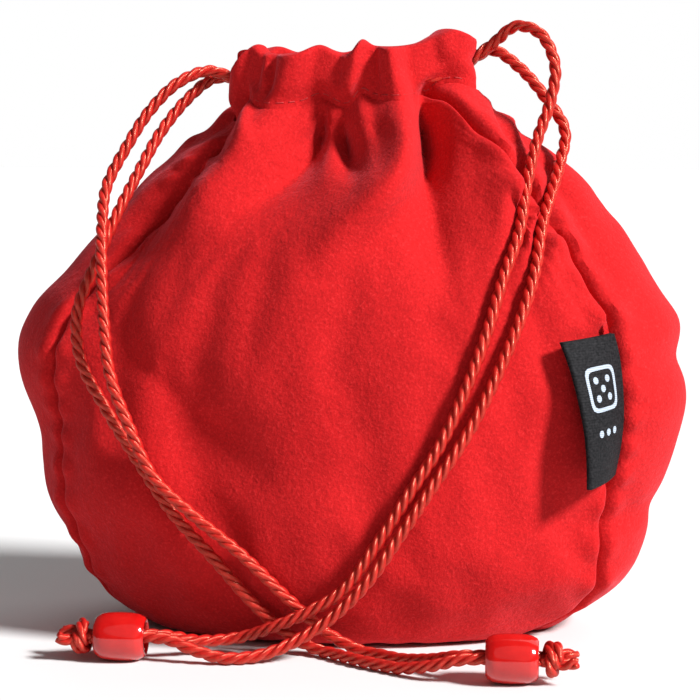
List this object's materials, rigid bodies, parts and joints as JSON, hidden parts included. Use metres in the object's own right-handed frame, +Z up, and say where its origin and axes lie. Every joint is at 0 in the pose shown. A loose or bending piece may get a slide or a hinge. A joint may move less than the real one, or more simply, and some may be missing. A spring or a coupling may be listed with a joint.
{
  "type": "drawstring dice bag",
  "caption": "Red suede-cloth drawstring dice bag, standing filled and drawn nearly shut, with twisted cords, barrel beads and a blank seam label.",
  "frame": {"origin": "centre of the flat base, on the surface that the bag stands on", "axes": "+Z up, the front panel faces -Y, +X to the right as seen from the front"},
  "size_m": [0.164, 0.1078, 0.1504],
  "materials": {
    "red_suede": "brushed matt",
    "red_cord": "satin twisted rayon",
    "red_thread": "matt thread",
    "red_bead": "gloss",
    "black_label": "woven satin"
  },
  "bodies": {
    "bag": {"front_panel": "red_suede", "back_panel": "red_suede", "gusset_strip": "red_suede", "casing_front": "red_suede", "casing_back": "red_suede", "casing_front_stitches": "red_thread", "casing_back_stitches": "red_thread", "front_seam_thread": "red_thread", "back_seam_thread": "red_thread", "left_cord_in_casing": "red_cord", "right_cord_in_casing": "red_cord", "left_cord_inner_strand": "red_cord", "left_cord_outer_strand": "red_cord", "right_cord_inner_strand": "red_cord", "right_cord_outer_strand": "red_cord", "left_cord_knot": "red_cord", "right_cord_knot": "red_cord"},
    "left_cord_bead": {"left_cord_bead": "red_bead"},
    "right_cord_bead": {"right_cord_bead": "red_bead"},
    "label": {"label": "black_label"}
  },
  "joints": [
    {"name": "left_cord_bead_slide", "type": "slide", "parent": "bag", "child": "left_cord_bead", "axis": [-1, 0, 0], "range_m": [0, 0.0045]},
    {"name": "right_cord_bead_slide", "type": "slide", "parent": "bag", "child": "right_cord_bead", "axis": [1, 0, 0], "range_m": [0, 0.0045]},
    {"name": "label_hinge", "type": "hinge", "parent": "bag", "child": "label", "pos_m": [0.0684, -0.0243, 0.059], "axis": [0, 0, 1], "range_deg": [-5, 140]}
  ]
}
